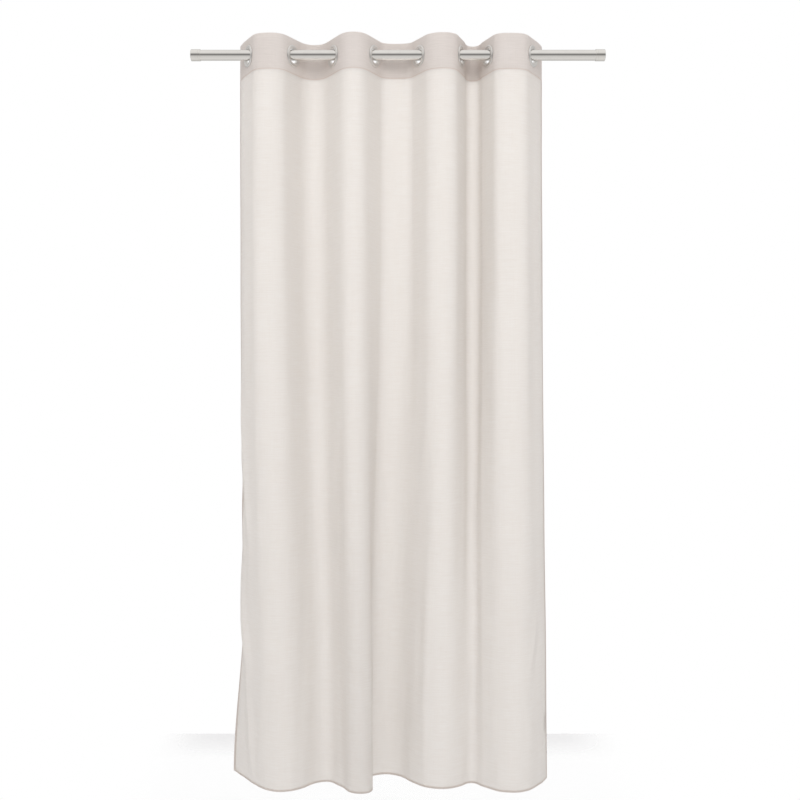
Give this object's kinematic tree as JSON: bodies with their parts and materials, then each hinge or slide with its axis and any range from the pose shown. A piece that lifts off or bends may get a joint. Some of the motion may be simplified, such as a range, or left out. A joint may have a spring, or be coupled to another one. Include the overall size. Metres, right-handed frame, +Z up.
{
  "type": "eyelet curtain on a rod",
  "caption": "Off-white semi-sheer curtain panel hung by chromed snap eyelets from a short polished tube rod with slip-on end caps; it slides and draws along the rod.",
  "frame": {"origin": "middle of the rod, on the rod's axis", "axes": "+X along the rod to the viewer's right, +Y away from the viewer (towards the window), +Z up"},
  "size_m": [1.185, 0.2036, 2.134],
  "materials": {
    "polished_steel": "polished",
    "chromed_ring": "polished",
    "grey_nylon": "matte",
    "curtain_fabric": "semi-sheer slubbed plain weave",
    "header_tape": "stiff nonwoven tape",
    "label_satin": "satin"
  },
  "bodies": {
    "rod": {"rod_tube": "polished_steel"},
    "left_cap": {"end_cap_left": "polished_steel", "cap_insert_left": "grey_nylon"},
    "right_cap": {"end_cap_right": "polished_steel", "cap_insert_right": "grey_nylon"},
    "curtain": {"eyelet_front_1": "chromed_ring", "eyelet_back_1": "chromed_ring", "curtain_cloth": "curtain_fabric", "header_stiffener": "header_tape", "header_facing": "curtain_fabric", "side_hem_left": "curtain_fabric", "side_hem_right": "curtain_fabric", "bottom_hem": "curtain_fabric", "care_label": "label_satin"},
    "eyelet_2": {"eyelet_front_2": "chromed_ring", "eyelet_back_2": "chromed_ring"},
    "eyelet_3": {"eyelet_front_3": "chromed_ring", "eyelet_back_3": "chromed_ring"},
    "eyelet_4": {"eyelet_front_4": "chromed_ring", "eyelet_back_4": "chromed_ring"},
    "eyelet_5": {"eyelet_front_5": "chromed_ring", "eyelet_back_5": "chromed_ring"},
    "eyelet_6": {"eyelet_front_6": "chromed_ring", "eyelet_back_6": "chromed_ring"},
    "eyelet_7": {"eyelet_front_7": "chromed_ring", "eyelet_back_7": "chromed_ring"},
    "eyelet_8": {"eyelet_front_8": "chromed_ring", "eyelet_back_8": "chromed_ring"}
  },
  "joints": [
    {"name": "curtain_slide", "type": "slide", "parent": "rod", "child": "curtain", "axis": [1, 0, 0], "range_m": [-0.095, 0.135]},
    {"name": "curtain_draw", "type": "slide", "parent": "curtain", "child": "eyelet_8", "axis": [-1, 0, 0], "range_m": [0, 0.3646], "deforming": ["curtain_cloth", "header_stiffener", "header_facing", "side_hem_left", "side_hem_right", "bottom_hem", "care_label"]},
    {"name": "eyelet_2_draw", "type": "slide", "parent": "curtain", "child": "eyelet_2", "axis": [-1, 0, 0], "range_m": [0, 0.0565]},
    {"name": "eyelet_3_draw", "type": "slide", "parent": "curtain", "child": "eyelet_3", "axis": [-1, 0, 0], "range_m": [0, 0.1091]},
    {"name": "eyelet_4_draw", "type": "slide", "parent": "curtain", "child": "eyelet_4", "axis": [-1, 0, 0], "range_m": [0, 0.1613]},
    {"name": "eyelet_5_draw", "type": "slide", "parent": "curtain", "child": "eyelet_5", "axis": [-1, 0, 0], "range_m": [0, 0.2196]},
    {"name": "eyelet_6_draw", "type": "slide", "parent": "curtain", "child": "eyelet_6", "axis": [-1, 0, 0], "range_m": [0, 0.2727]},
    {"name": "eyelet_7_draw", "type": "slide", "parent": "curtain", "child": "eyelet_7", "axis": [-1, 0, 0], "range_m": [0, 0.3085]},
    {"name": "left_cap_pull", "type": "slide", "parent": "rod", "child": "left_cap", "axis": [-1, 0, 0], "range_m": [0, 0.04]},
    {"name": "right_cap_pull", "type": "slide", "parent": "rod", "child": "right_cap", "axis": [1, 0, 0], "range_m": [0, 0.04]}
  ],
  "couplings": [
    {"joint": "eyelet_2_draw", "follows": "curtain_draw", "ratio": 0.15453},
    {"joint": "eyelet_3_draw", "follows": "curtain_draw", "ratio": 0.29894},
    {"joint": "eyelet_4_draw", "follows": "curtain_draw", "ratio": 0.44187},
    {"joint": "eyelet_5_draw", "follows": "curtain_draw", "ratio": 0.60183},
    {"joint": "eyelet_6_draw", "follows": "curtain_draw", "ratio": 0.74759},
    {"joint": "eyelet_7_draw", "follows": "curtain_draw", "ratio": 0.84572}
  ]
}
